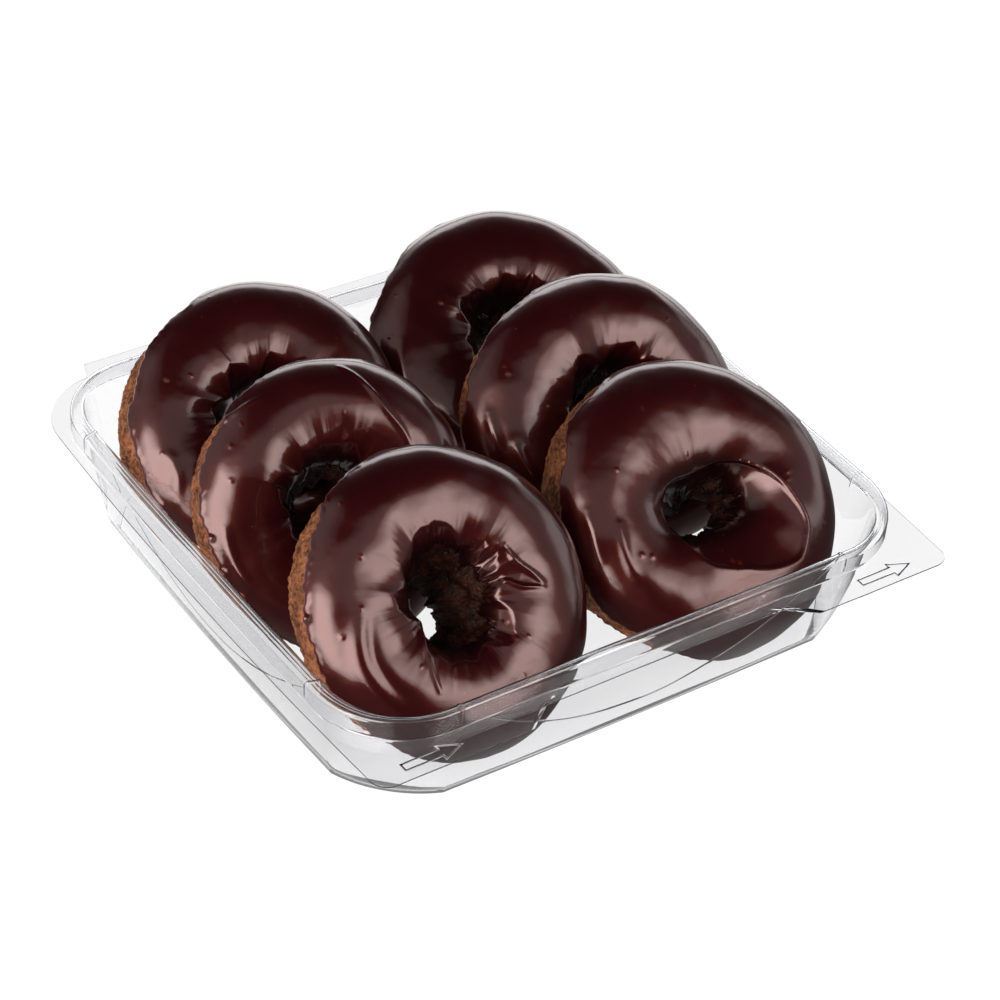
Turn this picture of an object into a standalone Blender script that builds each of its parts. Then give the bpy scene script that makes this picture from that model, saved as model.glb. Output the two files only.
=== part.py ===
"""Box of glazed ring doughnuts.

Six iced cake rings lean in two rows, one against the next, in the thin clear tray of a
snap-shut pack.  The lid is gone: it has been torn off along the strip at the back.

Units are metres and +Z is up.  The tray stands on z = 0 with its middle over the origin.
Its two thumb tabs point to -Y and the strip that held the lid lies along +Y.
"""
from math import radians
from typing import NamedTuple

import bpy
import numpy as np
from mathutils import Euler

COLLECTION = "box_of_doughnuts"

# Tray: heights
FILM = 0.0006              # thickness of the clear plastic
FLANGE_Z = 0.0303          # underside of the flat flange
RIM_Z = 0.0360             # top of the bead that stands round the mouth
FLOOR_LIP = 0.0015         # height of the small bevel round the floor
LEDGE_Z = 0.0090           # lowest point of the curved ledge in each wall

# Tray: half sizes, seen from above
FLOOR_X, FLOOR_Y = 0.0790, 0.0778
MOUTH_X, MOUTH_Y = 0.0855, 0.0837
BEAD_X, BEAD_Y = 0.0892, 0.0860
FLANGE_X, FLANGE_Y = 0.0915, 0.0900
TAB_Y = 0.0960             # how far the thumb tabs and the lid strip reach
STRIP_X = 0.0769           # half length of the lid strip
RECESS_X = 0.0395          # half width of the gap between the tabs
RECESS_RUN = 0.0070        # width of the slope at each end of that gap
LEDGE_OUT = 0.0016         # how far a wall steps out at its ledge
BELLY = 0.42               # below 1, the wall spreads more near the floor than near the rim

# Tray: corners, as a cut (roundness 0) or an arc (roundness 1)
FLOOR_CUT = 0.0200
MOUTH_RADIUS = 0.0215
BEAD_RADIUS = 0.0250
FLANGE_RADIUS = 0.0210
TAB_RADIUS = 0.0050
FLOOR_ROUNDNESS = 0.25     # the floor's corners are cuts that bow out a little
CORNER_STEPS = 6

# Tray: how far its left and right sides bulge, and where points stand along the walls
FLOOR_BULGE, RIM_BULGE, FLANGE_BULGE = 0.0018, 0.0010, 0.0028
ACROSS = np.array([-0.70, -0.58, -0.505, -0.43, -0.22, 0.0, 0.22, 0.43, 0.505, 0.58, 0.70])
ALONG = np.array([-0.66, -0.44, -0.22, 0.0, 0.22, 0.44, 0.66])
KNEE = 0.40                # height of the bend in the wall, as a share of the ledge's height
LEDGE_END = 0.70           # the ledge runs up into the rim at this share of the side
LEDGE_DROP = 4 * FILM      # the ledge's ends stay this far below the rim
LEDGE_STEP = 2 * FILM      # height over which the wall steps out at the ledge

# Doughnuts
AROUND, TUBE = 36, 16      # facets round the ring and round its section
THICKNESS = 0.74           # thickness as a share of the radius
SQUARENESS = 2.15          # 2 is an ellipse, more is boxier
COAT = 0.0011              # thickness of the icing
COAT_INSET = COAT / 3      # the bare cake's edge lies this far inside the ring's radius
OUTER_LIP = 12.0           # degrees above the widest line where the icing ends
INNER_LIP = 172.0          # the same, inside the hole
LIP_STEP = 3.0             # degrees over which the icing's edge rises
OUTER_WANDER = 5.0         # degrees that the outer edge of the icing strays, and the inner one
INNER_WANDER = 8.0
OUTER_STEP = 1             # facet of the section on which the icing starts
INNER_STEP = TUBE // 2 + 1 # facet after the one on which it ends
GAP = 0.0003               # air left between pieces that touch

FILM_COLOUR = (0.90, 0.91, 0.92)
ICING_COLOUR = (0.045, 0.014, 0.010)


class Ring(NamedTuple):
    """One cake ring, in metres and degrees.

    at is its place on the floor, lean its tilt back from lying flat, turn its heading.  oval
    and egg make its outline two- and three-sided, hole_oval its hole two-sided: each is a
    swell and a heading.  phase shifts the wander of the icing's edge.
    """

    name: str
    at: tuple
    radius: float
    lean: float
    turn: float
    oval: tuple
    egg: tuple
    hole: float
    hole_oval: tuple
    phase: float


RINGS = [
    Ring("doughnut_front_left", at=(-0.0432, -0.0460), radius=0.0410, lean=45.0, turn=-4.6,
         oval=(0.0005, -45), egg=(0.0003, 24), hole=0.0095, hole_oval=(0.0020, 90), phase=0.4),
    Ring("doughnut_middle_left", at=(-0.0461, 0.0036), radius=0.0387, lean=51.0, turn=-13.0,
         oval=(0.0005, 56), egg=(0.0006, 40), hole=0.0095, hole_oval=(0.0005, 10), phase=1.7),
    Ring("doughnut_back_left", at=(-0.0421, 0.0455), radius=0.0409, lean=40.7, turn=-8.0,
         oval=(0.0011, 3), egg=(0.0007, -57), hole=0.0095, hole_oval=(0.0010, 30), phase=2.9),
    Ring("doughnut_front_right", at=(0.0403, -0.0446), radius=0.0415, lean=40.2, turn=-5.9,
         oval=(0.0009, -39), egg=(0.0001, 30), hole=0.0100, hole_oval=(0.0025, 10), phase=4.1),
    Ring("doughnut_middle_right", at=(0.0430, 0.0008), radius=0.0411, lean=47.4, turn=-4.9,
         oval=(0.0028, -22), egg=(0.0017, -56), hole=0.0100, hole_oval=(0.0010, 70), phase=5.2),
    Ring("doughnut_back_right", at=(0.0424, 0.0463), radius=0.0421, lean=34.4, turn=-12.6,
         oval=(0.0020, 1), egg=(0.0012, -33), hole=0.0100, hole_oval=(0.0010, 120), phase=0.9),
]


def material(name, colour, roughness, alpha=1.0):
    """A Principled material; colour is linear red, green and blue."""
    made = bpy.data.materials.new(name)
    made.use_nodes = True
    shader = made.node_tree.nodes["Principled BSDF"]
    shader.inputs["Base Color"].default_value = (*colour, 1.0)
    shader.inputs["Roughness"].default_value = roughness
    shader.inputs["Metallic"].default_value = 0.0
    shader.inputs["Alpha"].default_value = alpha
    return made


# ---------------------------------------------------------------- tray

class Loop:
    """A closed line round the tray, seen from above, with the same points as every other.

    side is how far each point is along its wall: 0 in the middle, 1 where the ledge ends.
    outward is the unit direction in which a wall point moves to push the wall out.
    """

    def __init__(self, half_x, half_y, radius, bulge, roundness=1.0, front=None, front_radius=None):
        front = half_y if front is None else front
        front_radius = radius if front_radius is None else front_radius
        points, side, outward = [], [], []
        for turn, (right, back) in enumerate([(1, -1), (1, 1), (-1, 1), (-1, -1)]):
            cut, reach = (radius, half_y) if back > 0 else (front_radius, front)
            points.append(self.corner(turn, right * (half_x - cut), back * (reach - cut), cut, roundness))
            side.append(np.ones(CORNER_STEPS + 1))
            outward.append(np.zeros((CORNER_STEPS + 1, 2)))
            stations = ALONG if turn % 2 == 0 else ACROSS
            points.append(self.wall(turn, half_x, half_y, front))
            side.append(np.abs(stations) / LEDGE_END)
            outward.append(np.tile([(1, 0), (0, 1), (-1, 0), (0, -1)][turn], (len(stations), 1)))
        self.xy = np.vstack(points)
        self.side = np.hstack(side)
        self.outward = np.vstack(outward)
        x, y = self.xy.T
        x += np.sign(x) * bulge * np.clip(1 - (y / half_y) ** 2, 0, 1)

    @staticmethod
    def corner(turn, x, y, radius, roundness):
        """A quarter turn about (x, y), from a straight cut (roundness 0) to an arc (1)."""
        share = np.linspace(0.0, 1.0, CORNER_STEPS + 1)[:, None]
        angle = np.radians(90.0 * (turn - 1 + share))
        arc = np.array([x, y]) + radius * np.hstack([np.cos(angle), np.sin(angle)])
        straight = arc[0] + (arc[-1] - arc[0]) * share
        return straight + roundness * (arc - straight)

    @staticmethod
    def wall(turn, half_x, half_y, front):
        """The points of the right, back, left or front wall, in the loop's own direction."""
        if turn == 0:
            return np.column_stack([np.full(len(ALONG), half_x), ALONG * half_y])
        if turn == 1:
            return np.column_stack([-ACROSS * half_x, np.full(len(ACROSS), half_y)])
        if turn == 2:
            return np.column_stack([np.full(len(ALONG), -half_x), -ALONG * half_y])
        return np.column_stack([ACROSS * half_x, np.full(len(ACROSS), -front)])

    def at(self, height):
        return np.column_stack([self.xy, np.broadcast_to(height, len(self.xy))])


def flange_edge():
    """The cut edge of the flange: thumb tabs in front, the torn lid strip behind."""
    loop = Loop(FLANGE_X, FLANGE_Y, FLANGE_RADIUS, FLANGE_BULGE, front=TAB_Y, front_radius=TAB_RADIUS)
    x, y = loop.xy.T
    front_wall = np.isclose(y, -TAB_Y) & (np.abs(x) < RECESS_X + RECESS_RUN)
    away = np.clip((np.abs(x) - RECESS_X) / RECESS_RUN, 0, 1)
    y[front_wall] = -(FLANGE_Y + (TAB_Y - FLANGE_Y) * away[front_wall])
    back_wall = np.isclose(y, FLANGE_Y)
    ends = back_wall & (np.abs(x) > FLANGE_X - FLANGE_RADIUS - FILM)
    x[ends] = np.sign(x[ends]) * STRIP_X
    y[back_wall] = TAB_Y
    return loop


def tray_loops():
    """Lines round the tray from its floor, up the wall and over the bead to the flange."""
    floor = Loop(FLOOR_X, FLOOR_Y, FLOOR_CUT, FLOOR_BULGE, FLOOR_ROUNDNESS)
    inset = Loop(FLOOR_X - FLOOR_LIP, FLOOR_Y - FLOOR_LIP, FLOOR_CUT, FLOOR_BULGE, FLOOR_ROUNDNESS)
    mouth = Loop(MOUTH_X, MOUTH_Y, MOUTH_RADIUS, RIM_BULGE)
    bead = Loop(BEAD_X, BEAD_Y, BEAD_RADIUS, RIM_BULGE)
    from_middle = np.clip(floor.side, 0, 1) ** 2
    ledge = LEDGE_Z + (RIM_Z - LEDGE_Z - LEDGE_DROP) * from_middle
    step_out = floor.outward * (LEDGE_OUT * (1 - from_middle))[:, None]

    def up_the_wall(height, push=0.0):
        spread = (height / RIM_Z)[:, None] ** BELLY
        return np.column_stack([floor.xy + (mouth.xy - floor.xy) * spread + push, height])

    return [
        inset.at(0.0),
        floor.at(FLOOR_LIP),
        up_the_wall(ledge * KNEE),
        up_the_wall(ledge),
        up_the_wall(ledge + LEDGE_STEP, step_out),
        mouth.at(RIM_Z),
        bead.at(RIM_Z),
        bead.at(FLANGE_Z),
        flange_edge().at(FLANGE_Z),
    ]


def make_tray():
    """A sheet through the loops, drawn up to the thickness of the film."""
    loops = tray_loops()
    count = len(loops[0])
    step = np.arange(count)
    following = (step + 1) % count
    faces = [step[::-1].tolist()]
    for row in range(len(loops) - 1):
        inner, outer = row * count, (row + 1) * count
        quads = [inner + step, inner + following, outer + following, outer + step]
        faces += np.column_stack(quads).tolist()
    mesh = bpy.data.meshes.new("tray")
    mesh.from_pydata(np.vstack(loops).tolist(), [], faces)
    tray = bpy.data.objects.new("tray", mesh)
    walls = tray.modifiers.new("film", 'SOLIDIFY')
    walls.thickness = FILM
    walls.offset = -1.0
    walls.use_even_offset = True
    mesh.materials.append(material("clear_film", FILM_COLOUR, 0.05, alpha=0.3))
    return tray


# ---------------------------------------------------------------- doughnuts

def wander(around, swing, phase):
    """Degrees by which an edge of the icing strays: five slow waves and nine small ones."""
    return swing * (0.6 * np.sin(5 * around + phase) + 0.4 * np.sin(9 * around + 2.3 * phase))


def section_angle(step, outer_lip, inner_lip):
    """Angle of each facet's edge round the section, with two of them at each lip of the icing."""
    iced = (step - OUTER_STEP) / (INNER_STEP - 1 - OUTER_STEP)
    bare = (step - INNER_STEP) / (TUBE - INNER_STEP)
    over = outer_lip + LIP_STEP + (inner_lip - outer_lip - LIP_STEP) * iced
    under = inner_lip + LIP_STEP + (360.0 + outer_lip - inner_lip - LIP_STEP) * bare
    angle = np.where(step < INNER_STEP, over, under)
    return np.where(step < OUTER_STEP, outer_lip, angle)


def ring_points(ring, around, step):
    """The iced ring, lying flat round the origin: a rounded box swept round the hole."""
    outer_lip = OUTER_LIP + wander(around, OUTER_WANDER, ring.phase)
    inner_lip = INNER_LIP + wander(around, INNER_WANDER, ring.phase + 1.0)
    tube = np.radians(section_angle(step, outer_lip, inner_lip))
    coat = np.where((step >= OUTER_STEP) & (step < INNER_STEP), COAT, 0.0)

    def swell(sides, amount, heading):
        return amount * np.cos(sides * (around - radians(heading)))

    edge = ring.radius - COAT_INSET + swell(2, *ring.oval) + swell(3, *ring.egg)
    hole = ring.hole + swell(2, *ring.hole_oval)
    half_width = (edge - hole) / 2
    half_height = THICKNESS * ring.radius / 2 - COAT
    across, rise = np.cos(tube), np.sin(tube)
    boxy = (np.abs(across) ** SQUARENESS + np.abs(rise) ** SQUARENESS) ** (-1 / SQUARENESS)
    out = hole + half_width * (1 + boxy * across) + coat * across
    up = half_height * boxy * rise + coat * rise
    return np.column_stack([out * np.cos(around), out * np.sin(around), up])


def make_doughnut(ring):
    """An iced cake ring that leans back and stands on the tray's floor."""
    bpy.ops.mesh.primitive_torus_add(major_segments=AROUND, minor_segments=TUBE,
                                     major_radius=1.0, minor_radius=0.5)
    doughnut = bpy.context.object
    mesh = doughnut.data
    doughnut.name = mesh.name = ring.name
    flat = np.empty(len(mesh.vertices) * 3)
    mesh.vertices.foreach_get("co", flat)
    x, y, z = flat.reshape(-1, 3).T
    around = np.arctan2(y, x)
    step = np.round(np.arctan2(z, np.hypot(x, y) - 1.0) * TUBE / (2 * np.pi)).astype(int) % TUBE
    points = ring_points(ring, around, step)
    mesh.vertices.foreach_set("co", points.ravel())
    mesh.shade_smooth()

    doughnut.rotation_euler = (radians(ring.lean), 0.0, radians(ring.turn))
    tilt = np.array(Euler(doughnut.rotation_euler).to_matrix())
    lowest = (points @ tilt.T)[:, 2].min()
    doughnut.location = (*ring.at, FILM + GAP - lowest)
    mesh.materials.append(material("icing_of_" + ring.name, ICING_COLOUR, 0.18))
    return doughnut


def main():
    for old in list(bpy.data.objects):
        bpy.data.objects.remove(old, do_unlink=True)
    box = bpy.data.collections.new(COLLECTION)
    bpy.context.scene.collection.children.link(box)
    for piece in [make_tray()] + [make_doughnut(ring) for ring in RINGS]:
        for holder in list(piece.users_collection):
            holder.objects.unlink(piece)
        box.objects.link(piece)


main()
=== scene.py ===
"""Box of glazed ring doughnuts: the looks.

Six chocolate cake rings, dipped in dark icing, lean in two rows in the clear tray of a
snap-shut pack.  Units are metres and +Z is up.  The tray's thumb tabs point to -Y.
"""
from math import radians
from typing import NamedTuple

import bpy
import numpy as np
from mathutils import Euler, Matrix, Vector


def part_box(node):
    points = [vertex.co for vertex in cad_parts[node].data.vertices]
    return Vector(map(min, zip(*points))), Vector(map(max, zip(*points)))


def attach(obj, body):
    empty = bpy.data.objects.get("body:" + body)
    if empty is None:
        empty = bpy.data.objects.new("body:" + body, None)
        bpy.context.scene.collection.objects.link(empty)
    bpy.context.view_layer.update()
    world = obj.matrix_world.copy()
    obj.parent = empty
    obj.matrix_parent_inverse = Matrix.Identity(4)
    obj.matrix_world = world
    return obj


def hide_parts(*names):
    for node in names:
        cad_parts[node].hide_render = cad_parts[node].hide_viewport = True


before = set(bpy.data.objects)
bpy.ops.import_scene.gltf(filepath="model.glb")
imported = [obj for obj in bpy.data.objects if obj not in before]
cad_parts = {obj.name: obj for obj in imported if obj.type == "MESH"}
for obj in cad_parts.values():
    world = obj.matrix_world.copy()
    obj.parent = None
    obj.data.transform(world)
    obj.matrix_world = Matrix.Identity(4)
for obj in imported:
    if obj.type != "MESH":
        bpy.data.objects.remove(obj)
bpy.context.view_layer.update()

MM = 0.001
TAU = 2 * np.pi

# ---------------------------------------------------------------- sizes

# Tray
FILM = 0.35 * MM              # thickness of the clear sheet
FLANGE_Z = 30.3 * MM          # underside of the flat flange
RIM_Z = 36.0 * MM             # inside of the top of the bead round the mouth
LEDGE_Z = 9.0 * MM            # lowest point of the curved ledge in each wall
LEDGE_OUT = 0.3 * MM          # how far a wall steps out at its ledge
LEDGE_END = 0.955             # the ledge meets the rim at this share of a straight side
BELLY = 0.42                  # below 1, the wall spreads more near the floor than near the rim
BEAD_ROUND = 0.8 * MM         # rounding of the bead's two upper edges
FOOT_ROUND = 0.7 * MM         # rounding where the bead meets the flange
CORNER_STEPS = 16             # points on each corner

# Doughnuts
THICKNESS = 0.74              # thickness as a share of the radius
SQUARENESS = 2.15             # 2 is an ellipse, more is boxier
COAT = 1.1 * MM               # thickness of the icing
AROUND = 600                  # columns of the grids round a ring


class Run(NamedTuple):
    """A ridge of icing, or a groove where height is below 0, along (heading, section) points."""

    width: float
    height: float
    path: tuple


class Ring(NamedTuple):
    """One cake ring, in metres and degrees, with the same sizes as its solid.

    A heading turns round the ring and a section angle round its tube, from the outer side
    (0) over the face (90) into the hole (180).  lip lists (heading, section) of the icing's
    outer edge.  bumps lists (heading, section) of the lumps that show, and pits of the dents.
    rim, where there is one, is the crisp shoulder round the hole.  throat lists (heading,
    millimetres) by which crumb narrows the hole at the back.  inner lists (heading, section)
    of the icing's edge inside the hole.  pleats scales the folds of the icing round the hole.
    """

    node: str
    at: tuple
    radius: float
    lean: float
    turn: float
    oval: tuple
    egg: tuple
    hole: float
    hole_oval: tuple
    seed: int
    lip: tuple
    runs: tuple
    bumps: tuple
    pits: tuple = ()
    rim: tuple = ()
    throat: tuple = ((0, 7), (90, 8), (180, 7), (250, 5), (300, 6))
    inner: tuple = ((0, 170), (90, 174), (180, 170), (270, 170))
    pleats: float = 1.0


RINGS = [
    Ring("doughnut_front_left", (-0.0432, -0.0460), 0.0410, 45.0, -4.6, (0.0005, -45), (0.0003, 24),
         0.0095, (0.0020, 90), 11, ((20, -16), (95, 4), (122, 27), (150, 35), (185, 27), (215, 24), (250, 4), (290, -14)),
         (Run(2.6 * MM, 0.8 * MM, ((176, 80), (183, 75), (191, 69), (201, 62), (212, 59), (222, 57))),
          Run(1.5 * MM, -0.32 * MM, ((178, 88), (188, 82), (200, 75), (212, 72), (224, 71))),
          Run(0.75 * MM, 0.6 * MM, ((27, 109), (16, 108), (8, 105), (352, 90))),
          Run(0.6 * MM, 0.45 * MM, ((2, 124), (351, 109), (349, 90))),
          Run(2.6 * MM, -0.5 * MM, ((22, 124), (8, 120), (0, 108))),
          Run(0.7 * MM, 0.4 * MM, ((174, 142), (210, 127), (228, 112), (240, 90)))),
         ((172, 82), (183, 60), (319, 124), (309, 112), (304, 139), (294, 86), (144, 82)),
         ((172, 34),), (),
         ((0, 10.8), (45, 11), (90, 10), (135, 8), (180, 7.5), (220, 5), (245, 3.6), (270, 7.4), (320, 10.2)),
         ((0, 146), (60, 152), (120, 158), (180, 168), (250, 168), (300, 150))),
    Ring("doughnut_middle_left", (-0.0461, 0.0036), 0.0387, 51.0, -13.0, (0.0005, 56), (0.0006, 40),
         0.0095, (0.0005, 10), 12, ((20, -16), (95, 4), (120, 26), (145, 28), (180, 38), (205, 40), (250, 10), (290, -14)),
         (Run(0.7 * MM, 0.5 * MM, ((78, 41), (66, 62), (52, 80), (28, 90))),
          Run(0.9 * MM, 0.5 * MM, ((141, 26), (130, 40), (117, 47))),
          Run(1.5 * MM, 0.5 * MM, ((184, 60), (200, 56), (213, 54)))),
         ((144, 56), (160, 68), (60, 146)), ((186, 44),)),
    Ring("doughnut_back_left", (-0.0421, 0.0455), 0.0409, 40.7, -8.0, (0.0011, 3), (0.0007, -57),
         0.0095, (0.0010, 30), 13, ((20, -16), (90, 4), (112, 29), (133, 30), (160, 42), (188, 35), (250, 4), (290, -14)),
         (Run(1.7 * MM, 0.45 * MM, ((186, 66), (192, 70), (200, 66), (208, 50))),
          Run(0.7 * MM, 0.5 * MM, ((136, 25), (127, 37)))),
         ((187, 64), (150, 70)), ((160, 32),)),
    Ring("doughnut_front_right", (0.0403, -0.0446), 0.0415, 40.2, -5.9, (0.0009, -39), (0.0001, 30),
         0.0100, (0.0025, 10), 14, ((20, -16), (95, 4), (118, 23), (145, 30), (180, 22), (205, 14), (250, 0), (290, -14)),
         (Run(1.5 * MM, 0.5 * MM, ((172, 56), (181, 56), (193, 49))),
          Run(1.5 * MM, 0.5 * MM, ((182, 82), (190, 78), (202, 70), (208, 66)))),
         ((202, 86), (207, 94), (268, 108), (273, 104), (356, 101), (1, 99)), (),
         ((16, 124), (36, 135), (69, 146), (111, 146), (141, 142), (175, 147), (208, 142), (230, 120),
          (249, 105), (276, 97), (310, 74), (330, 82), (346, 100)),
         ((0, 4.5), (30, 7.5), (60, 10), (90, 11), (135, 10), (180, 8), (215, 5), (240, 0.5), (270, -1), (300, 0.5), (330, 2.5)),
         ((0, 168), (60, 184), (100, 188), (140, 176), (200, 166), (300, 160)), 0.0),
    Ring("doughnut_middle_right", (0.0430, 0.0008), 0.0411, 47.4, -4.9, (0.0028, -22), (0.0017, -56),
         0.0100, (0.0010, 70), 15, ((20, -16), (90, 2), (110, 16), (136, 14), (157, 24), (170, 16), (250, 0), (290, -14)),
         (Run(1.4 * MM, 0.5 * MM, ((168, 48), (177, 50), (186, 50))),
          Run(1.6 * MM, 0.5 * MM, ((184, 66), (194, 64), (204, 60)))),
         ((162, 26), (150, 60))),
    Ring("doughnut_back_right", (0.0424, 0.0463), 0.0421, 34.4, -12.6, (0.0020, 1), (0.0012, -33),
         0.0100, (0.0010, 120), 16, ((20, -16), (90, 2), (110, 16), (157, 20), (200, 16), (250, 0), (290, -14)),
         (Run(1.6 * MM, 0.4 * MM, ((176, 60), (188, 56), (198, 50))),),
         ((172, 49), (152, 94)), (), (), ((0, 9.5), (90, 9.5), (180, 9), (270, 9.5))),
]


# ---------------------------------------------------------------- helpers

def linear(code):
    """An sRGB hex colour as linear red, green, blue and full alpha."""
    parts = [int(code[i:i + 2], 16) / 255 for i in (1, 3, 5)]
    return (*[c / 12.92 if c <= 0.04045 else ((c + 0.055) / 1.055) ** 2.4 for c in parts], 1.0)


def add(tree, kind, settings=None, **links):
    """Adds a node, sets its own settings, and links or sets its inputs by name."""
    node = tree.nodes.new(kind)
    for name, value in (settings or {}).items():
        setattr(node, name, value)
    for name, value in links.items():
        key = name.replace("_", " ")
        socket = node.inputs[int(name[1:])] if name[0] == "i" and name[1:].isdigit() else node.inputs[key]
        if isinstance(value, bpy.types.NodeSocket):
            tree.links.new(value, socket)
        else:
            socket.default_value = value
    return node


def new_material(name):
    made = bpy.data.materials.new(name)
    made.use_nodes = True
    made.node_tree.nodes.clear()
    return made, made.node_tree


def smooth(t):
    """Rises from 0 to 1 without corners as t goes from 0 to 1."""
    t = np.clip(t, 0.0, 1.0)
    return t * t * (3 - 2 * t)


def swell(points, size, seed, waves=28):
    """Smooth random relief between about -1 and 1: the mean of sine waves of one length, each
    with its own direction and start.  size is the length of the waves in metres."""
    rng = np.random.default_rng(seed)
    heading = rng.normal(size=(waves, 3))
    heading /= np.linalg.norm(heading, axis=1, keepdims=True)
    stretch = rng.uniform(0.75, 1.35, (waves, 1))
    start = rng.uniform(0, TAU, waves)
    phase = points.reshape(-1, 3) @ (heading * stretch * TAU / size).T + start
    return (np.sin(phase).sum(1) / np.sqrt(waves / 2) / 1.6).reshape(points.shape[:-1])


def between(angle, marks):
    """A smooth closed curve through (degrees, value) marks, read at angle in radians."""
    at, value = np.array(sorted(marks), float).T
    at = np.radians(np.concatenate([at[-2:] - 360, at, at[:2] + 360]))
    value = np.concatenate([value[-2:], value, value[:2]])
    angle = np.mod(angle, TAU)
    fine = np.linspace(at[0], at[-1], 721)
    curve = np.interp(fine, at, value)
    for _ in range(40):
        curve[1:-1] = (curve[:-2] + 2 * curve[1:-1] + curve[2:]) / 4
    return np.interp(angle, fine, curve)


def course(marks, share):
    """A smooth open curve of two angles through the marks, read at shares of its length."""
    marks = np.unwrap(marks, axis=0)
    fine = np.linspace(0, 1, 141)
    angles = []
    for value in marks.T:
        curve = np.interp(fine, np.linspace(0, 1, len(marks)), value)
        for _ in range(120):
            curve[1:-1] = (curve[:-2] + 2 * curve[1:-1] + curve[2:]) / 4
        angles.append(np.interp(share, fine, curve))
    return angles


def cells(points, size, seed):
    """Distance from each point to the nearest of many scattered seeds, one to each cube of the
    given size, as a share of that size: 0 at a seed, and about 0.5 to 1 where seeds meet."""
    rng = np.random.default_rng(seed)
    table = rng.permutation(256)
    jitter = rng.uniform(0, 1, (256, 3))
    flat = points.reshape(-1, 3) / size
    home = np.floor(flat).astype(int)
    nearest = np.full(len(flat), 9.0)
    for step in np.ndindex(3, 3, 3):
        cube = home + np.array(step) - 1
        mark = table[(table[(table[cube[:, 0] & 255] + cube[:, 1]) & 255] + cube[:, 2]) & 255]
        nearest = np.minimum(nearest, ((cube + jitter[mark] - flat) ** 2).sum(1))
    return np.sqrt(nearest).reshape(points.shape[:-1])


def away_from(points, marks):
    """Distance from each point to the nearest mark, and which mark that is."""
    flat = points.reshape(-1, 3)
    square = (flat ** 2).sum(1)[:, None] + (marks ** 2).sum(1)[None, :] - 2 * flat @ marks.T
    which = square.argmin(1)
    gap = np.sqrt(np.clip(square[np.arange(len(flat)), which], 0, None))
    return gap.reshape(points.shape[:-1]), which.reshape(points.shape[:-1])


def grid_faces(rows, columns, rows_close=True, columns_close=True):
    """Quads of a grid whose points run row by row; either way may close on itself."""
    r = np.arange(rows if rows_close else rows - 1)[:, None]
    c = np.arange(columns if columns_close else columns - 1)[None, :]
    r2, c2 = (r + 1) % rows, (c + 1) % columns
    return np.stack([r * columns + c, r2 * columns + c, r2 * columns + c2, r * columns + c2], -1).reshape(-1, 4)


def mesh_object(name, points, quads, material, caps=()):
    """A smooth mesh object from arrays of points and quads; caps are faces with more corners."""
    mesh = bpy.data.meshes.new(name)
    flat = np.asarray(points, float).reshape(-1, 3)
    sizes = np.concatenate([np.full(len(quads), 4), np.array([len(cap) for cap in caps], int)])
    corners = np.concatenate([quads.ravel(), *caps])
    mesh.vertices.add(len(flat))
    mesh.vertices.foreach_set("co", flat.ravel())
    mesh.loops.add(len(corners))
    mesh.loops.foreach_set("vertex_index", corners.astype(np.int32))
    mesh.polygons.add(len(sizes))
    mesh.polygons.foreach_set("loop_start", np.concatenate([[0], np.cumsum(sizes)[:-1]]).astype(np.int32))
    mesh.polygons.foreach_set("use_smooth", np.ones(len(sizes), bool))
    mesh.materials.append(material)
    mesh.update(calc_edges=True)
    mesh.validate()
    made = bpy.data.objects.new(name, mesh)
    bpy.context.scene.collection.objects.link(made)
    return made


def paint(made, name, values):
    """Stores one number a vertex under a name that a material reads."""
    layer = made.data.attributes.new(name, 'FLOAT', 'POINT')
    layer.data.foreach_set("value", np.asarray(values, np.float32).ravel())


# ---------------------------------------------------------------- materials

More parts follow.
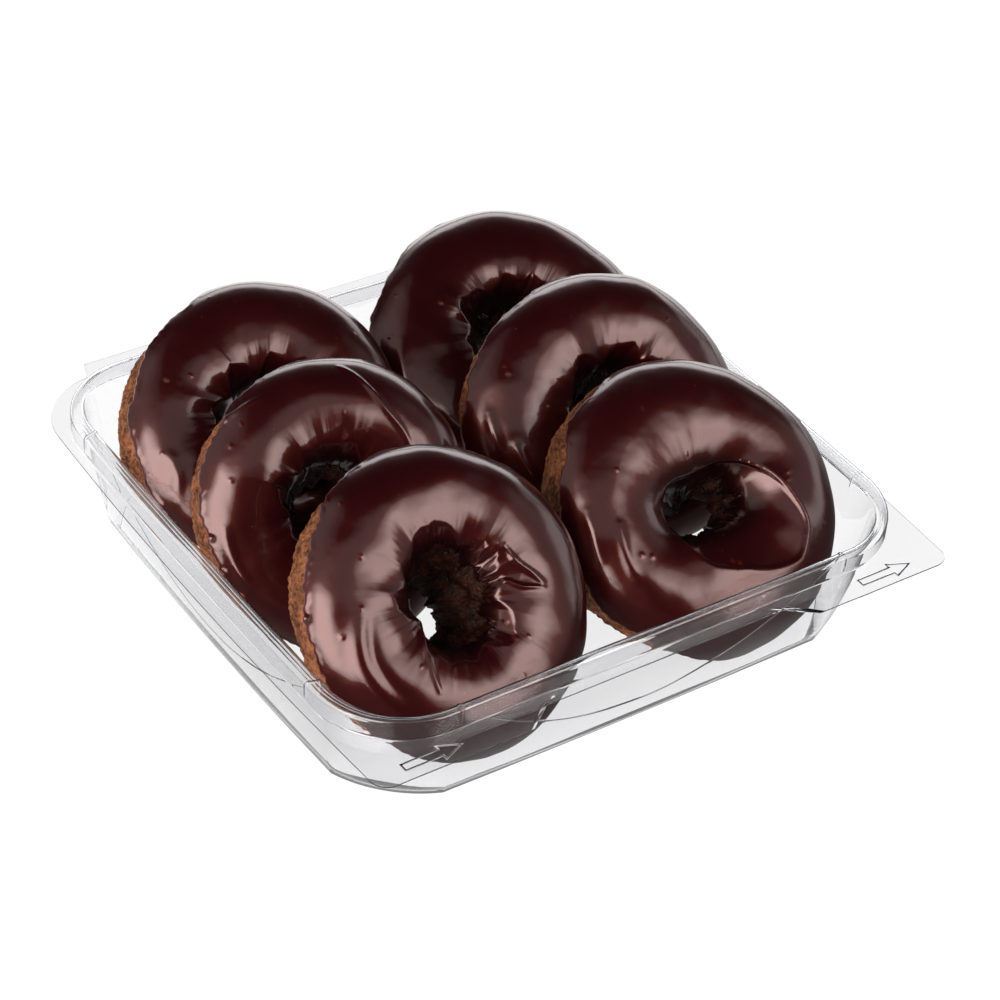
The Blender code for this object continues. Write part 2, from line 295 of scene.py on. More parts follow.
def icing_material():
    """Dark chocolate icing, melted, dipped and set: a satin red-brown body under a thin, clear
    and glossy sugar skin, redder where it lies thin over a crumb, redder and lighter at its
    edge, partly its own colour and partly a painted highlight along the lip, painted almost
    black towards and into the hole as painted shade, and with a few small specks."""
    made, tree = new_material("chocolate_icing_dipped")
    place = add(tree, "ShaderNodeTexCoord").outputs["Object"]
    cloud = add(tree, "ShaderNodeTexNoise", Vector=place, Scale=1 / (9 * MM), Detail=3.0, Roughness=0.6)
    grain = add(tree, "ShaderNodeTexNoise", Vector=place, Scale=1 / (0.7 * MM), Detail=2.0)
    # thin: redder over the lumps, the icing's own colour where it lies thin; lighter and redder at the lip, partly its
    # own colour and partly a painted highlight along the lip
    thin = add(tree, "ShaderNodeAttribute", {"attribute_name": "thin"}).outputs["Fac"]
    tint = add(tree, "ShaderNodeMix", {"data_type": 'RGBA'}, i0=cloud.outputs["Fac"], i6=linear("#190305"),
               i7=linear("#2c070a"))
    thinner = add(tree, "ShaderNodeMix", {"data_type": 'RGBA'}, i0=thin, i6=tint.outputs["Result"],
                  i7=linear("#5a2114"))
    # painted shade: the icing is painted near black (#0a0102) from section angle 118 degrees on, towards and into the
    # hole, where shade falls
    painted_hole_shade = add(tree, "ShaderNodeAttribute", {"attribute_name": "painted_hole_shade"}).outputs["Fac"]
    hole_shaded = add(tree, "ShaderNodeMix", {"data_type": 'RGBA'}, i0=painted_hole_shade, i6=thinner.outputs["Result"],
                 i7=linear("#0a0102"))
    dots = add(tree, "ShaderNodeTexVoronoi", Vector=place, Scale=1 / (5 * MM), Randomness=1.0)
    speck = add(tree, "ShaderNodeMapRange", Value=dots.outputs["Distance"], From_Min=0.03, From_Max=0.055,
                To_Min=1.0, To_Max=0.0)
    specked = add(tree, "ShaderNodeMix", {"data_type": 'RGBA'}, i0=speck.outputs["Result"],
                  i6=hole_shaded.outputs["Result"], i7=linear("#5a2114"))
    raised = add(tree, "ShaderNodeMath", {"operation": 'MULTIPLY_ADD'}, i0=speck.outputs["Result"], i1=1.5,
                 i2=grain.outputs["Fac"])
    bump = add(tree, "ShaderNodeBump", Strength=0.08, Distance=0.15 * MM, Height=raised.outputs[0])
    body = add(tree, "ShaderNodeBsdfPrincipled", Base_Color=specked.outputs["Result"],
               Normal=bump.outputs["Normal"], Roughness=0.30, IOR=1.5, Specular_IOR_Level=0.5,
               Specular_Tint=(1.0, 0.27, 0.19, 1.0), Coat_Weight=0.9, Coat_Roughness=0.10, Coat_IOR=1.5,
               Coat_Tint=(1.0, 0.93, 0.91, 1.0))
    add(tree, "ShaderNodeOutputMaterial", Surface=body.outputs["BSDF"])
    return made


def cake_material():
    """Fried chocolate cake: a matt crust, mottled from dark to light brown, with small open
    pores painted darker as shade in the pits, and a damp bare crumb where it is torn inside
    the hole, its brown painted almost black as shade in the hole."""
    made, tree = new_material("chocolate_cake_fried")
    place = add(tree, "ShaderNodeTexCoord").outputs["Object"]
    patches = add(tree, "ShaderNodeTexNoise", Vector=place, Scale=1 / (5 * MM), Detail=4.0, Roughness=0.65)
    crumb = add(tree, "ShaderNodeTexNoise", Vector=place, Scale=1 / (1.3 * MM), Detail=4.0, Roughness=0.75)
    pores = add(tree, "ShaderNodeTexVoronoi", Vector=place, Scale=1 / (1.6 * MM), Randomness=1.0)
    open_pore = add(tree, "ShaderNodeMapRange", Value=pores.outputs["Distance"], From_Min=0.05, From_Max=0.36)
    torn = add(tree, "ShaderNodeAttribute", {"attribute_name": "torn"}).outputs["Fac"]
    both = add(tree, "ShaderNodeMath", {"operation": 'ADD'}, i0=patches.outputs["Fac"], i1=crumb.outputs["Fac"])
    level_of = add(tree, "ShaderNodeMapRange", Value=both.outputs[0], From_Min=0.82, From_Max=1.2)
    crust = add(tree, "ShaderNodeMix", {"data_type": 'RGBA'}, i0=level_of.outputs["Result"],
                i6=linear("#49291a"), i7=linear("#985f40"))
    # painted shade: the open pores are painted dark brown (#311a13), as shade in the pits
    dark = add(tree, "ShaderNodeMix", {"data_type": 'RGBA'}, i0=open_pore.outputs["Result"],
               i6=linear("#311a13"), i7=crust.outputs["Result"])
    # painted shade: the bare crumb's brown is painted almost black inside the hole, where shade falls
    crumb_with_painted_shade = add(tree, "ShaderNodeMix", {"data_type": 'RGBA'}, i0=level_of.outputs["Result"],
                i6=linear("#0b0403"), i7=linear("#311711"))
    whole = add(tree, "ShaderNodeMix", {"data_type": 'RGBA'}, i0=torn, i6=dark.outputs["Result"],
                i7=crumb_with_painted_shade.outputs["Result"])
    height = add(tree, "ShaderNodeMath", {"operation": 'MULTIPLY'}, i0=crumb.outputs["Fac"],
                 i1=open_pore.outputs["Result"])
    bump = add(tree, "ShaderNodeBump", Strength=1.0, Distance=0.5 * MM, Height=height.outputs[0])
    gloss = add(tree, "ShaderNodeMapRange", Value=torn, To_Min=0.72, To_Max=0.38)
    body = add(tree, "ShaderNodeBsdfPrincipled", Base_Color=whole.outputs["Result"],
               Normal=bump.outputs["Normal"], Roughness=gloss.outputs["Result"], IOR=1.4,
               Specular_IOR_Level=0.25, Specular_Tint=(1.0, 0.72, 0.55, 1.0))
    add(tree, "ShaderNodeOutputMaterial", Surface=body.outputs["BSDF"])
    return made


def film_material():
    """Clear thermoformed polyester sheet: glass-bright and faintly grey through its depth.
    Light from the lamps, and light that has bounced off the food, goes straight through."""
    made, tree = new_material("clear_polyester_thermoformed")
    film = add(tree, "ShaderNodeBsdfPrincipled", Base_Color=linear("#fcfcfd"), Roughness=0.0, IOR=1.5,
               Transmission_Weight=1.0)
    clear = add(tree, "ShaderNodeBsdfTransparent", Color=(0.97, 0.97, 0.97, 1.0))
    path = add(tree, "ShaderNodeLightPath")
    off_the_food = add(tree, "ShaderNodeMath", {"operation": 'GREATER_THAN'},
                       i0=path.outputs["Is Reflection Ray"], i1=path.outputs["Is Singular Ray"])
    straight = add(tree, "ShaderNodeMath", {"operation": 'MAXIMUM'}, i0=off_the_food.outputs[0],
                   i1=path.outputs["Is Shadow Ray"])
    mix = add(tree, "ShaderNodeMixShader", Fac=straight.outputs[0], i1=film.outputs["BSDF"],
              i2=clear.outputs["BSDF"])
    depth = add(tree, "ShaderNodeVolumeAbsorption", Color=(0.5, 0.5, 0.5, 1.0), Density=40.0)
    add(tree, "ShaderNodeOutputMaterial", Surface=mix.outputs["Shader"], Volume=depth.outputs["Volume"])
    return made


# ---------------------------------------------------------------- doughnuts

def section(ring, around, tube, lift=0.0):
    """A point of the bare cake, lifted off it along the section's own direction.

    The section is a rounded box, wide from the hole to the edge and as high as the ring's
    thickness; around turns it about the hole and tube goes round it, from the outer side (0)
    over the face (90 degrees) into the hole (180) and under the ring (270).
    """
    def sided(sides, amount, heading):
        return amount * np.cos(sides * (around - radians(heading)))

    edge = ring.radius - COAT / 3 + sided(2, *ring.oval) + sided(3, *ring.egg)
    hole = ring.hole + sided(2, *ring.hole_oval)
    half_width = (edge - hole) / 2
    half_height = THICKNESS * ring.radius / 2 - COAT
    across, rise = np.cos(tube), np.sin(tube)
    boxy = (np.abs(across) ** SQUARENESS + np.abs(rise) ** SQUARENESS) ** (-1 / SQUARENESS)
    out = hole + half_width * (1 + boxy * across) + lift * across
    up = half_height * boxy * rise + lift * rise
    return np.stack([out * np.cos(around), out * np.sin(around), up + 0 * around], -1)


def stand(ring, points):
    """Leans a flat ring back, turns it and stands it where its solid stands."""
    tilt = np.array(Euler((radians(ring.lean), 0.0, radians(ring.turn))).to_matrix())
    a, t = np.meshgrid(np.linspace(0, TAU, 180, endpoint=False), np.linspace(0, TAU, 90, endpoint=False))
    icing = np.where(t < np.pi, COAT, 0.0)
    lowest = (section(ring, a, t, icing) @ tilt.T)[..., 2].min()
    low_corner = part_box(ring.node)[0]
    return points @ tilt.T + np.array([*ring.at, low_corner[2] - lowest])


def lips(ring, around):
    """Section angles of the icing's outer edge and of its edge inside the hole: slow marks
    plus a torn edge, which is a sum of sines of ever more and smaller teeth."""
    rng = np.random.default_rng(ring.seed + 20)
    outer, inner = between(around, ring.lip), between(around, ring.inner)
    for teeth in (5, 9, 14, 23, 37, 58, 90):
        outer = outer + 6.5 * teeth ** -0.5 * np.sin(teeth * around + rng.uniform(0, TAU)) * rng.uniform(0.4, 1)
        inner = inner + 22 * teeth ** -0.6 * np.sin(teeth * around + rng.uniform(0, TAU)) * rng.uniform(0.4, 1)
    return np.radians(outer), np.radians(inner)


def peak(past, before, after):
    """A crisp ridge, 1 at its top, that falls off exponentially on each side, by 1/e within so
    many degrees before and after its line."""
    reach = np.sqrt(past ** 2 + 4) - 2
    return np.exp(-reach / np.where(past < 0, before, after))


def collar(ring, around, tube):
    """Where the icing bends into the hole, in metres: it stays up to a zigzag line of folds,
    on a low shoulder, and turns down steeply past it.  The line is a sum of triangle waves."""
    rng = np.random.default_rng(ring.seed)
    line = 122 + 0 * around
    for folds, reach in ((5, 8), (8, 6), (13, 3)):
        step = (folds * around / TAU + 0.08 * np.sin(3 * around + ring.seed) + rng.uniform()) % 1.0
        line = line + reach * (4 * np.abs(step - 0.5) - 1)
    angle = np.degrees(tube)
    past = 1.5 * np.log1p(np.exp((angle - line) / 1.5))
    shoulder = 0.8 * MM * peak(angle - line, 15, 22)
    return ring.pleats * (shoulder - 2.0 * MM * (1 - np.exp(-past / 15)))


def settled(ring, around, tube, flat):
    """The slow unevenness that cake and coat share, in metres: waves of 30 and 12 mm, a hole
    that narrows towards the back, and the step down from the rim where a ring has one."""
    slow = 0.32 * MM * swell(flat, 30 * MM, ring.seed) + 0.10 * MM * swell(flat, 13 * MM, ring.seed + 50)
    angle = np.degrees(tube)
    throat = MM * between(around, ring.throat) * np.exp(-((angle - 214) / 26) ** 2)
    if ring.rim:
        below = angle - between(around, ring.rim)
        step = MM * between(around, ((0, 0.7), (30, 1.3), (110, 1.7), (190, 1.3), (235, 0.5), (300, 0.35)))
        shoulder = 1.7 * MM * peak(below, 16, 18)
        slow = slow + shoulder - step * smooth(below / 5) * smooth((170 - angle) / 45)
    return slow + throat + collar(ring, around, tube)


def icing_relief(ring, around, tube, flat):
    """Relief of the coat on top of the settled form, and how thin the icing lies, 0 to 1.

    Flutes of triangle waves run into the hole and grow towards it.  Every run, bump and pit is
    a bell of the distance to its line or point on the bare ring.
    """
    rng = np.random.default_rng(ring.seed + 60)
    relief = np.zeros_like(tube)
    for folds, height in ((7, 0.24), (12, 0.16), (19, 0.09), (31, 0.045)):
        wave = (folds * around / TAU + 0.2 * np.sin(4 * around + ring.seed) + rng.uniform()) % 1.0
        patchy = 0.6 + 0.4 * np.sin(2 * around + rng.uniform(0, TAU)) + 0.3 * np.sin(5 * around + rng.uniform(0, TAU))
        relief = relief + height * MM * np.clip(patchy, 0, 1.2) * (4 * np.abs(wave - 0.5) - 1)
    angle = np.degrees(tube)
    relief = relief * (0.2 + 0.8 * ring.pleats) * smooth((angle - 84) / 40) * smooth((175 - angle) / 30)
    relief = relief + 0.018 * MM * swell(flat, 6 * MM, ring.seed + 70) + 0.004 * MM * swell(flat, 2.4 * MM, ring.seed + 80)
    for run in ring.runs:
        share = np.linspace(0, 1, 70)
        line = section(ring, *course(np.radians(np.array(run.path, float)), share))
        gap, which = away_from(flat, line)
        taper = np.sin(np.pi * np.clip(0.08 + 0.84 * share[which], 0, 1)) ** 0.6
        relief = relief + run.height * taper * np.exp(-(gap / run.width) ** 2)
    rng = np.random.default_rng(ring.seed + 5)
    more = np.column_stack([rng.uniform(0, 360, 7), rng.uniform(25, 135, 7)])
    spots = np.radians(np.vstack([np.array(ring.bumps, float), more]))
    size = np.concatenate([np.full(len(ring.bumps), 0.62), rng.uniform(0.3, 0.5, 7)]) * MM
    gap, which = away_from(flat, section(ring, spots[:, 0], spots[:, 1]))
    lump = np.exp(-(gap / size[which]) ** 2)
    relief = relief + 0.30 * size[which] * lump
    if ring.pits:
        spots = np.radians(np.array(ring.pits, float))
        gap, _ = away_from(flat, section(ring, spots[:, 0], spots[:, 1]))
        relief = relief - 0.6 * MM * np.exp(-(gap / (0.9 * MM)) ** 2)
    return relief, 0.45 * lump


def make_icing(ring, material):
    """The coat: over the ring from lip to lip, each lip rounded over, and back under it inside
    the cake, so that it is one closed body."""
    over, under = 140, 10
    around = np.linspace(0, TAU, AROUND, endpoint=False)[:, None]
    even = np.linspace(0, 1, over)
    closer = 0.5 * even + 0.25 * (1 - np.cos(np.pi * even))
    share = np.concatenate([closer, np.linspace(1, 0, under)])[None, :]
    outside = (np.arange(over + under) < over)[None, :]
    outer, inner = lips(ring, around)
    tube = outer + (inner - outer) * share
    flat = section(ring, around, tube)
    half_section = THICKNESS * ring.radius / 2
    from_lip = np.minimum(tube - outer, inner - tube) * half_section
    roll = np.sqrt(np.clip(1 - (1 - np.clip(from_lip / (0.9 * MM), 0, 1)) ** 2, 0, 1))
    relief, lump = icing_relief(ring, around, tube, flat)
    fullness = np.clip(0.6 + 0.5 * swell(flat, 7 * MM, ring.seed + 41), 0.15, 1.2)
    relief = relief + 0.2 * MM * fullness * np.exp(-((from_lip / MM - 1.2) / 0.8) ** 2)
    base = settled(ring, around, tube, flat)
    skin = base - 0.25 * MM + (COAT + relief + 0.25 * MM) * roll
    lift = np.where(outside, skin, base - 0.6 * MM)
    points = stand(ring, section(ring, around, tube, lift))
    made = mesh_object(ring.node + "_icing", points, grid_faces(AROUND, over + under), material)
    # thin: lumps, and the lip, where the icing is painted lighter and redder, partly its own colour and partly a
    # painted highlight
    paint(made, "thin", np.maximum(lump, 1 - np.clip(from_lip / (1.3 * MM), 0, 1)))
    # painted shade: how far the icing is painted near black, rising from section angle 118 degrees into the hole
    paint(made, "painted_hole_shade", smooth((np.degrees(tube) - 118) / 25))
    return made


def make_cake(ring, material):
    """The cake: the whole ring, with a crumbly relief where it is bare and plain under the icing."""
    bare, hidden = 92, 10
    around = np.linspace(0, TAU, AROUND, endpoint=False)[:, None]
    outer, inner = lips(ring, around)
    outer, inner = outer + radians(6), inner - radians(6)
    share = np.linspace(0, 1, bare)[None, :]
    share = share + 0.055 * np.sin(2 * TAU * share - 0.6) + 0.055 * np.sin(0.6)
    share = (share - share[:, :1]) / (share[:, -1:] - share[:, :1])
    low = inner + (outer + TAU - inner) * share
    high = outer + TAU + (inner - outer) * np.linspace(0, 1, hidden + 2)[None, 1:-1]
    tube = np.concatenate([low, high], 1)
    flat = section(ring, around, tube)
    angle = np.degrees(tube)
    # torn marks the bare crumb inside the hole, which the material paints almost black as painted shade
    torn = smooth((angle - 110) / 12) * smooth((268 - angle) / 25)
    crust = 0.20 * MM * swell(flat, 2.4 * MM, ring.seed + 7, 60) + 0.2 * MM * swell(flat, 6 * MM, ring.seed + 9)
    crust = crust - 1.1 * MM * np.clip(0.42 - cells(flat, 1.8 * MM, ring.seed), 0, 1)
    crumb = 0.9 * MM * swell(flat, 7 * MM, ring.seed + 11, 40)
    crumb = crumb + 1.5 * MM * (0.45 - cells(flat, 2.6 * MM, ring.seed + 3))
    crumb = crumb + 0.7 * MM * (0.45 - cells(flat, 1.4 * MM, ring.seed + 4))
    grain = np.where((np.arange(bare + hidden) < bare)[None, :], crust + (crumb - crust) * torn, -0.35 * MM)
    lift = settled(ring, around, tube, flat) + grain
    points = stand(ring, section(ring, around, tube, lift))
    made = mesh_object(ring.node + "_cake", points, grid_faces(AROUND, bare + hidden), material)
    paint(made, "torn", torn + 0 * lift)
    return made


# ---------------------------------------------------------------- tray

def stations():
    """Places along a straight side from -1 to 1, closer together where the ledge meets the rim."""
    even = np.linspace(-1, 1, 86)[1:-1]
    close = LEDGE_END + 0.005 * np.arange(-4, 5)
    return np.sort(np.concatenate([even[np.abs(np.abs(even) - LEDGE_END) > 0.022], close, -close]))


def outline(half_x, half_y, radius, bulge=0.0, roundness=1.0, front=None, front_radius=None):
    """A closed line round the tray seen from above, with the same stations on every line.

    From the front right corner on, each corner is an arc, or a cut that bows out by the share
    roundness of the arc, and each side runs straight to the next corner, bowed out by bulge.
    """
    front = half_y if front is None else front
    front_radius = radius if front_radius is None else front_radius
    share = np.linspace(0, 1, CORNER_STEPS)[:, None]
    arcs = []
    for turn, (right, back) in enumerate([(1, -1), (1, 1), (-1, 1), (-1, -1)]):
        cut, reach = (radius, half_y) if back > 0 else (front_radius, front)
        centre = np.array([right * (half_x - cut), back * (reach - cut)])
        angle = np.radians(90.0 * (turn - 1 + share))
        arc = centre + cut * np.hstack([np.cos(angle), np.sin(angle)])
        straight = arc[0] + (arc[-1] - arc[0]) * share
        arcs.append(straight + roundness * (arc - straight))
    across = (stations()[:, None] + 1) / 2
    line = []
    for turn, arc in enumerate(arcs):
        line += [arc, arc[-1] + (arcs[(turn + 1) % 4][0] - arc[-1]) * across]
    xy = np.vstack(line)
    xy[:, 0] += np.sign(xy[:, 0]) * bulge * np.clip(1 - (xy[:, 1] / half_y) ** 2, 0, 1)
    return xy


def along_sides():
    """For every station: its place on its side, from -1 to 1 (2 in a corner), and the side's
    outward direction (0 in a corner)."""
    place, outward = [], []
    for way in ((1, 0), (0, 1), (-1, 0), (0, -1)):
        place += [np.full(CORNER_STEPS, 2.0), stations()]
        outward += [np.zeros((CORNER_STEPS, 2)), np.tile(np.array(way, float), (len(stations()), 1))]
    return np.hstack(place), np.vstack(outward)


def flange_edge():
    """The cut edge of the flange: thumb tabs in front, the torn lid strip behind."""
    tab, flange, recess, slope, strip = 96.0 * MM, 90.0 * MM, 39.5 * MM, 7.0 * MM, 76.9 * MM
    line = outline(91.5 * MM, flange, 21.0 * MM, 2.8 * MM, front=tab, front_radius=5.0 * MM)
    x, y = line.T
    front = np.isclose(y, -tab)
    y[front] = -(flange + (tab - flange) * smooth((np.abs(x[front]) - recess) / slope))
    back = np.isclose(y, flange)
    y[back] = np.where(np.abs(x[back]) < strip, tab, flange)
    return line


def level(xy, height):
    return np.column_stack([xy, np.broadcast_to(height, len(xy))])


def bead_edge(xy, towards, low, high, turns):
    """Rows that round an upper edge of the bead: a quarter circle between its wall and its top."""
    unit = (towards - xy) / np.linalg.norm(towards - xy, axis=1, keepdims=True)
    radius = high - low
    return [level(xy + unit * radius * (1 - np.cos(turn)), low + radius * np.sin(turn))
            for turn in np.radians(turns)]


def tray_skin():
    """The sheet's under and outer side: rows of points from the middle of the floor, up the
    wall, over the bead and out to the flange's edge.  Each row is one line round the tray."""
    inset = outline(77.5 * MM, 76.3 * MM, 20.0 * MM, 1.8 * MM, roundness=0.25)
    floor = outline(79.0 * MM, 77.8 * MM, 20.0 * MM, 1.8 * MM, roundness=0.25)
    mouth = outline(85.5 * MM, 83.7 * MM, 21.5 * MM, 1.0 * MM)
    bead = outline(89.2 * MM, 86.0 * MM, 25.0 * MM, 1.0 * MM)
    edge = flange_edge()
    place, outward = along_sides()
    from_middle = np.clip(np.abs(place) / LEDGE_END, 0, 1) ** 2
    ledge = LEDGE_Z + (RIM_Z - LEDGE_Z - 3.2 * MM) * from_middle
    push = outward * (LEDGE_OUT * (1 - from_middle ** 2))[:, None]

    def up_the_wall(height, out=0.0):
        return level(floor + (mouth - floor) * (height / RIM_Z)[:, None] ** BELLY + out, height)

    lip = 1.5 * MM
    rows = [level(inset * 0.98, 0.0), level(inset * 0.997, 0.0), level(inset, 0.0)]
    rows += [level(inset + (floor - inset) * np.sin(turn), lip * (1 - np.cos(turn)))
             for turn in np.radians([11, 22, 34, 45, 56, 68, 79, 90])]
    rows += [up_the_wall(lip + (ledge - lip) * share) for share in (0.04, 0.15, 0.3, 0.45, 0.6, 0.75, 0.88, 0.97, 1.0)]
    rows += [up_the_wall(ledge + 0.6 * MM * share, push * smooth(share)) for share in (0.25, 0.5, 0.75, 1.0)]
    low_row, top_row = rows[-1], level(mouth, RIM_Z - BEAD_ROUND)
    rows += [low_row + (top_row - low_row) * share for share in (0.02, 0.1, 0.25, 0.4, 0.55, 0.7, 0.85, 0.97, 1.0)]
    rows += bead_edge(mouth, bead, RIM_Z - BEAD_ROUND, RIM_Z, (25, 50, 70, 90))
    inner_edge, outer_edge = rows[-1], bead_edge(bead, mouth, RIM_Z - BEAD_ROUND, RIM_Z, (90,))[0]
    across = np.linspace(0, 1, 14)[1:-1]
    groove = 0.05 * MM * (np.cos(2 * TAU * across) - 1)
    rows += [inner_edge + (outer_edge - inner_edge) * share + np.array([0, 0, dip])
             for share, dip in zip(across, groove)]
    rows += bead_edge(bead, mouth, RIM_Z - BEAD_ROUND, RIM_Z, (90, 70, 50, 25, 0))
    foot = FLANGE_Z + FOOT_ROUND
    rows += [level(bead, RIM_Z - BEAD_ROUND - (RIM_Z - BEAD_ROUND - foot) * share) for share in (0.05, 0.35, 0.65, 0.95, 1.0)]
    away = (edge - bead) / np.linalg.norm(edge - bead, axis=1, keepdims=True)
    rows += [level(bead + away * FOOT_ROUND * (1 - np.cos(turn)), foot - FOOT_ROUND * np.sin(turn))
             for turn in np.radians([30, 60, 90])]
    begin = bead + away * FOOT_ROUND
    rows += [level(begin + (edge - begin) * share, FLANGE_Z) for share in (0.03, 0.2, 0.4, 0.6, 0.8)]
    rows += [level(edge - away * 0.12 * MM, FLANGE_Z), level(edge, FLANGE_Z)]
    return np.array(rows)


def make_tray(material):
    """The clear sheet: its outer skin, the same skin moved in along its own normals by the
    film's thickness, and a rounded cut edge between the two."""
    skin = tray_skin()
    down_rows = np.gradient(skin, axis=0)
    round_rows = np.roll(skin, -1, 1) - np.roll(skin, 1, 1)
    normal = np.cross(round_rows, down_rows)
    normal /= np.linalg.norm(normal, axis=2, keepdims=True)
    normal *= -np.sign(normal[0, 0, 2]) * -1
    place, _ = along_sides()
    crease = np.exp(-((np.abs(place) - LEDGE_END) * 62 * MM / (0.35 * MM)) ** 2)
    upper = smooth((skin[..., 2] - (FLANGE_Z + 1 * MM)) / (2 * MM))
    ripple = 0.06 * MM * swell(skin, 24 * MM, 3) + 0.012 * MM * swell(skin, 7 * MM, 4)
    ripple = ripple * smooth(skin[..., 2] / (8 * MM))
    skin = skin + normal * (0.28 * MM * crease * upper + ripple)[..., None]
    inner = skin + FILM * normal
    edge = (skin[-1] + inner[-1]) / 2 + (skin[-1] - skin[-2]) * 0.7
    points = np.concatenate([skin, edge[None], inner[::-1]])
    count = points.shape[1]
    quads = grid_faces(len(points), count, rows_close=False)[:, ::-1]
    last = (len(points) - 1) * count
    caps = (np.arange(count)[::-1], last + np.arange(count))
    made = mesh_object("tray_clear", points, quads, material, caps)
    return made


def make_arrow(name, start, material):
    """A plain arrow raised on a thumb tab: a half-round ridge carried along its outline."""
    corners = np.array([(0, 1.2), (11, 1.2), (11, 2.6), (17, 0), (11, -2.6), (11, -1.2), (0, -1.2)]) * MM
    corners = corners[::-1] + np.array(start)
    ahead, behind = np.roll(corners, -1, 0) - corners, corners - np.roll(corners, 1, 0)
    ahead /= np.linalg.norm(ahead, axis=1, keepdims=True)
    behind /= np.linalg.norm(behind, axis=1, keepdims=True)
    side = np.column_stack([-(ahead + behind)[:, 1], (ahead + behind)[:, 0]])
    side /= (side * np.column_stack([-ahead[:, 1], ahead[:, 0]])).sum(1)[:, None]
    turn = np.linspace(0, TAU, 12, endpoint=False)
    out, up = 0.32 * MM * np.cos(turn), 0.14 * MM * np.clip(np.sin(turn), -0.1, 1)
    steps = np.linspace(0, 1, 6, endpoint=False)[:, None, None]
    path = (corners + (np.roll(corners, -1, 0) - corners) * steps).transpose(1, 0, 2).reshape(-1, 2)
    sides = np.concatenate([np.where(steps == 0, side, np.column_stack([-ahead[:, 1], ahead[:, 0]]))])
    sides = sides.transpose(1, 0, 2).reshape(-1, 2)
    ring_xy = path[:, None, :] + sides[:, None, :] * out[None, :, None]
    height = np.broadcast_to(FLANGE_Z + FILM + 0.06 * MM + up, ring_xy.shape[:2])
    points = np.concatenate([ring_xy, height[..., None]], -1)
    made = mesh_object(name, points, grid_faces(len(path), len(turn)), material)
    return made


# ---------------------------------------------------------------- studio

def softbox(name, azimuth, elevation, wide, high, glow, colour):
    """A rectangular lamp aimed at the pack, given by its middle and its width and height in
    degrees as the pack sees it, and by its brightness.  Azimuth 0 is towards +Y and 90
    towards +X.  It is brightest in the middle and fades towards its edges."""
    target, distance = Vector((0.0, 0.0, 0.03)), 1.2
    a, e = radians(azimuth), radians(elevation)
    way = Vector((np.sin(a) * np.cos(e), np.cos(a) * np.cos(e), np.sin(e)))
    lamp = bpy.data.lights.new(name, 'AREA')
    lamp.shape = 'RECTANGLE'
    lamp.size, lamp.size_y = (2 * distance * np.tan(radians(part) / 2) for part in (wide, high))
    lamp.energy = glow * lamp.size * lamp.size_y * np.pi
    lamp.color = colour
    lamp.use_nodes = True
    tree = lamp.node_tree
    spot = add(tree, "ShaderNodeNewGeometry").outputs["Parametric"]
    middle = add(tree, "ShaderNodeVectorMath", {"operation": 'SUBTRACT'}, i0=spot, i1=(0.5, 0.5, 0.0))
    part = add(tree, "ShaderNodeSeparateXYZ", Vector=middle.outputs["Vector"])
    fade = [add(tree, "ShaderNodeMapRange", {"interpolation_type": 'SMOOTHSTEP'},
                Value=add(tree, "ShaderNodeMath", {"operation": 'ABSOLUTE'}, i0=part.outputs[axis]).outputs[0],
                From_Min=0.2, From_Max=0.5, To_Min=1.15, To_Max=0.25) for axis in "XY"]
    both = add(tree, "ShaderNodeMath", {"operation": 'MULTIPLY'}, i0=fade[0].outputs["Result"],
               i1=fade[1].outputs["Result"])
    tree.links.new(both.outputs[0], tree.nodes["Emission"].inputs["Strength"])
    made = bpy.data.objects.new(name, lamp)
    made.location = target + way * distance
    made.rotation_euler = way.to_track_quat('Z', 'Y').to_euler()
    made.visible_camera = False
    bpy.context.scene.collection.objects.link(made)


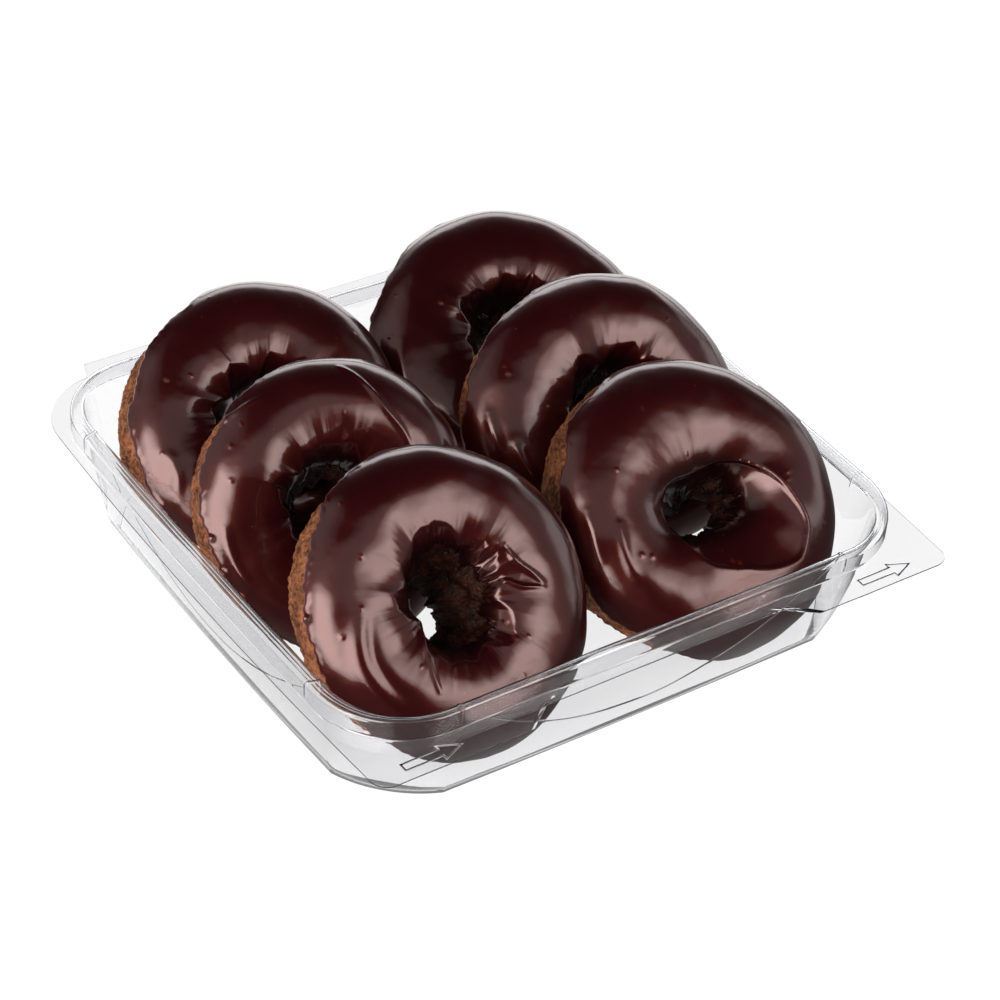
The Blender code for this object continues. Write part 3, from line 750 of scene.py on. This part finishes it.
def make_studio():
    warm, plain, cool = (1.0, 0.97, 0.95), (1.0, 1.0, 1.0), (0.93, 0.96, 1.0)
    softbox("softbox_left", -116, 22, 44, 58, 5.5, warm)
    softbox("panel_left", -76, 28, 92, 84, 0.5, plain)
    softbox("softbox_right", 158, 25, 34, 50, 3.6, warm)
    softbox("fill_right", 125, 24, 60, 54, 0.28, plain)
    softbox("ceiling", -155, 56, 100, 34, 0.45, plain)
    softbox("softbox_back", 40, 15, 80, 22, 1.9, cool)
    softbox("fill_back", 100, 12, 40, 24, 0.8, plain)

    world = bpy.data.worlds.new("studio")
    world.use_nodes = True
    tree = world.node_tree
    path = add(tree, "ShaderNodeLightPath")
    walls = add(tree, "ShaderNodeMix", {"data_type": 'RGBA'}, i0=path.outputs["Is Transmission Ray"],
                i6=(0.012, 0.012, 0.013, 1.0), i7=(0.55, 0.55, 0.55, 1.0))
    tree.links.new(walls.outputs["Result"], tree.nodes["Background"].inputs["Color"])
    bpy.context.scene.world = world

    # The table is evenly white to the camera; rays mirrored by a surface see it glow as painted light instead
    made, tree = new_material("white_table")
    place = add(tree, "ShaderNodeTexCoord").outputs["Object"]
    paper = add(tree, "ShaderNodeBsdfPrincipled", Base_Color=linear("#595959"), Roughness=0.9,
                Emission_Color=(1.0, 1.0, 1.0, 1.0), Emission_Strength=0.95)
    axes = add(tree, "ShaderNodeSeparateXYZ", Vector=place)
    # painted light: seen mirrored, the table glows dim in front (0.06) and bright behind (1.6), a painted pool of
    # light behind the pack
    behind = add(tree, "ShaderNodeMapRange", Value=axes.outputs["Y"], From_Min=-0.05, From_Max=0.35,
                 To_Min=0.06, To_Max=1.6)
    apart = [add(tree, "ShaderNodeMath", {"operation": 'ABSOLUTE'}, i0=axes.outputs[axis]).outputs[0]
             for axis in "XY"]
    square = add(tree, "ShaderNodeMath", {"operation": 'MAXIMUM'}, i0=apart[0], i1=apart[1])
    # painted light: seen in a sharp mirror, such as the film, the table glows brighter (0.62) near the tray's foot
    painted_glow_by_the_foot = add(tree, "ShaderNodeMapRange", Value=square.outputs[0], From_Min=0.082, From_Max=0.094,
                      To_Min=0.62, To_Max=0.1)
    path = add(tree, "ShaderNodeLightPath")
    off_the_film = add(tree, "ShaderNodeMath", {"operation": 'MULTIPLY_ADD'},
                       i0=path.outputs["Is Singular Ray"], i1=painted_glow_by_the_foot.outputs["Result"],
                       i2=behind.outputs["Result"])
    mirrored = add(tree, "ShaderNodeEmission", Strength=off_the_film.outputs[0])
    once_mirrored = add(tree, "ShaderNodeMath", {"operation": 'GREATER_THAN'},
                        i0=path.outputs["Glossy Depth"], i1=0.5)
    table = add(tree, "ShaderNodeMixShader", Fac=once_mirrored.outputs[0],
                i1=paper.outputs["BSDF"], i2=mirrored.outputs["Emission"])
    add(tree, "ShaderNodeOutputMaterial", Surface=table.outputs["Shader"])
    corners = np.array([[-4, -4], [4, -4], [4, 4], [-4, 4]], float)
    table = mesh_object("table", np.column_stack([corners, np.full(4, -0.5 * MM)]),
                        np.array([[0, 1, 2, 3]]), made)


def make_camera():
    """The camera stands high in front of the left corner, rolled a little to the left."""
    camera = bpy.data.cameras.new("camera")
    camera.lens = 106.9
    camera.sensor_width = 36.0
    camera.clip_start, camera.clip_end = 0.05, 20.0
    made = bpy.data.objects.new("camera", camera)
    bpy.context.scene.collection.objects.link(made)
    azimuth, elevation, roll = radians(36.98), radians(37.58), radians(4.86)
    look = Vector((np.sin(azimuth) * np.cos(elevation), np.cos(azimuth) * np.cos(elevation), -np.sin(elevation)))
    aim = Vector((0.0122, 0.0036, 0.0132))
    turn = look.to_track_quat('-Z', 'Y').to_matrix() @ Matrix.Rotation(roll, 3, 'Z')
    made.matrix_world = Matrix.Translation(aim - look * 0.8399) @ turn.to_4x4()
    bpy.context.scene.camera = made


# ---------------------------------------------------------------- assembly

make_camera()
make_studio()

film = film_material()
for piece in (make_tray(film), make_arrow("tab_arrow_left", (-82.0 * MM, -91.6 * MM), film),
              make_arrow("tab_arrow_right", (63.0 * MM, -91.6 * MM), film)):
    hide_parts("tray")
    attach(piece, "root")

icing, cake = icing_material(), cake_material()
for ring in RINGS:
    for piece in (make_icing(ring, icing), make_cake(ring, cake)):
        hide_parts(ring.node)
        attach(piece, "root")

bpy.context.scene.view_settings.view_transform = 'Standard'
